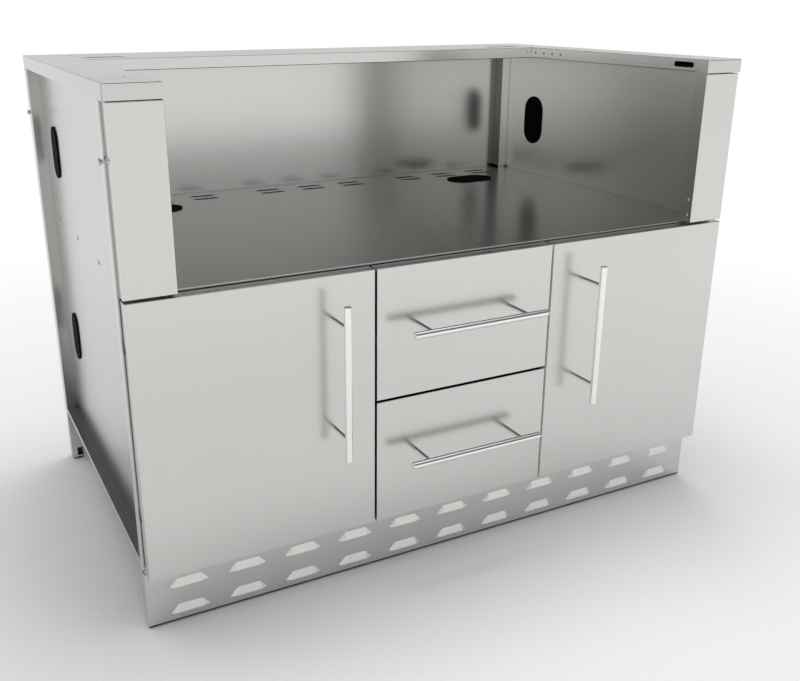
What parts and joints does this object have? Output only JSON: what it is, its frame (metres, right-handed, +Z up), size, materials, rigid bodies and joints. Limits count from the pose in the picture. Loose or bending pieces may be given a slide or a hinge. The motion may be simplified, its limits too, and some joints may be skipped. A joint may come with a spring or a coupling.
{
  "type": "grill base cabinet",
  "caption": "Free-standing stainless base cabinet with an open bay for a drop-in grill, hinged doors, pull-out drawers, cable ports and a louvred kick plate.",
  "frame": {"origin": "centre of the part's box, on the floor", "axes": "+X to the right seen from the front, +Y to the back, +Z up"},
  "size_m": [1.178, 0.783, 0.876],
  "materials": {
    "brushed_sheet": "brushed",
    "polished_steel": "polished",
    "plated_steel": "bright zinc plated",
    "fastener_steel": "plain turned",
    "black_rubber": "matte",
    "black_plastic": "moulded"
  },
  "bodies": {
    "cabinet": {"left_side_panel": "brushed_sheet", "right_side_panel": "brushed_sheet", "back_panel": "brushed_sheet", "left_top_cap": "brushed_sheet", "right_top_cap": "brushed_sheet", "rear_ledge": "brushed_sheet", "left_front_post": "brushed_sheet", "right_front_post": "brushed_sheet", "left_post_cover": "brushed_sheet", "right_post_cover": "brushed_sheet", "left_rear_post": "brushed_sheet", "right_rear_post": "brushed_sheet", "left_rear_leg": "brushed_sheet", "right_rear_leg": "brushed_sheet", "left_front_leg": "brushed_sheet", "right_front_leg": "brushed_sheet", "grill_shelf": "brushed_sheet", "bottom_panel": "brushed_sheet", "left_divider": "brushed_sheet", "right_divider": "brushed_sheet", "kick_plate": "brushed_sheet", "port_plugs": "black_rubber", "shelf_rivets": "fastener_steel", "post_cover_screws": "fastener_steel", "joining_screws": "fastener_steel", "frame_hinge_leaves": "fastener_steel", "hinge_pins": "fastener_steel", "slide_rails": "plated_steel"},
    "left_door": {"left_door_skin": "brushed_sheet", "left_door_liner": "brushed_sheet", "left_door_hinge_leaves": "fastener_steel", "left_door_handle_bar": "polished_steel", "left_door_handle_posts": "polished_steel", "left_door_handle_screws": "fastener_steel"},
    "right_door": {"right_door_skin": "brushed_sheet", "right_door_liner": "brushed_sheet", "right_door_hinge_leaves": "fastener_steel", "right_door_handle_bar": "polished_steel", "right_door_handle_posts": "polished_steel", "right_door_handle_screws": "fastener_steel"},
    "upper_drawer": {"upper_drawer_front": "brushed_sheet", "upper_drawer_liner": "brushed_sheet", "upper_drawer_handle_bar": "polished_steel", "upper_drawer_handle_posts": "polished_steel", "upper_drawer_handle_screws": "fastener_steel", "upper_drawer_box": "brushed_sheet", "upper_drawer_runners": "plated_steel"},
    "upper_slide": {"upper_slide_middles": "plated_steel"},
    "lower_drawer": {"lower_drawer_front": "brushed_sheet", "lower_drawer_liner": "brushed_sheet", "lower_drawer_handle_bar": "polished_steel", "lower_drawer_handle_posts": "polished_steel", "lower_drawer_handle_screws": "fastener_steel", "lower_drawer_box": "brushed_sheet", "lower_drawer_runners": "plated_steel"},
    "lower_slide": {"lower_slide_middles": "plated_steel"},
    "left_front_foot": {"left_front_foot": "black_plastic"},
    "left_rear_foot": {"left_rear_foot": "black_plastic"},
    "right_front_foot": {"right_front_foot": "black_plastic"},
    "right_rear_foot": {"right_rear_foot": "black_plastic"}
  },
  "joints": [
    {"name": "left_door_hinge", "type": "hinge", "parent": "cabinet", "child": "left_door", "pos_m": [-0.575, -0.3155, 0.3565], "axis": [0, 0, -1], "range_deg": [0, 95]},
    {"name": "right_door_hinge", "type": "hinge", "parent": "cabinet", "child": "right_door", "pos_m": [0.575, -0.3155, 0.3565], "axis": [0, 0, 1], "range_deg": [0, 95]},
    {"name": "upper_drawer_pull", "type": "slide", "parent": "cabinet", "child": "upper_drawer", "axis": [0, -1, 0], "range_m": [0, 0.45]},
    {"name": "upper_slide_follow", "type": "slide", "parent": "cabinet", "child": "upper_slide", "axis": [0, -1, 0], "range_m": [0, 0.225]},
    {"name": "lower_drawer_pull", "type": "slide", "parent": "cabinet", "child": "lower_drawer", "axis": [0, -1, 0], "range_m": [0, 0.45]},
    {"name": "lower_slide_follow", "type": "slide", "parent": "cabinet", "child": "lower_slide", "axis": [0, -1, 0], "range_m": [0, 0.225]},
    {"name": "left_front_foot_level", "type": "slide", "parent": "cabinet", "child": "left_front_foot", "axis": [0, 0, -1], "range_m": [0, 0.02]},
    {"name": "left_rear_foot_level", "type": "slide", "parent": "cabinet", "child": "left_rear_foot", "axis": [0, 0, -1], "range_m": [0, 0.02]},
    {"name": "right_front_foot_level", "type": "slide", "parent": "cabinet", "child": "right_front_foot", "axis": [0, 0, -1], "range_m": [0, 0.02]},
    {"name": "right_rear_foot_level", "type": "slide", "parent": "cabinet", "child": "right_rear_foot", "axis": [0, 0, -1], "range_m": [0, 0.02]}
  ],
  "couplings": [
    {"joint": "upper_slide_follow", "follows": "upper_drawer_pull", "ratio": 0.5},
    {"joint": "lower_slide_follow", "follows": "lower_drawer_pull", "ratio": 0.5}
  ]
}
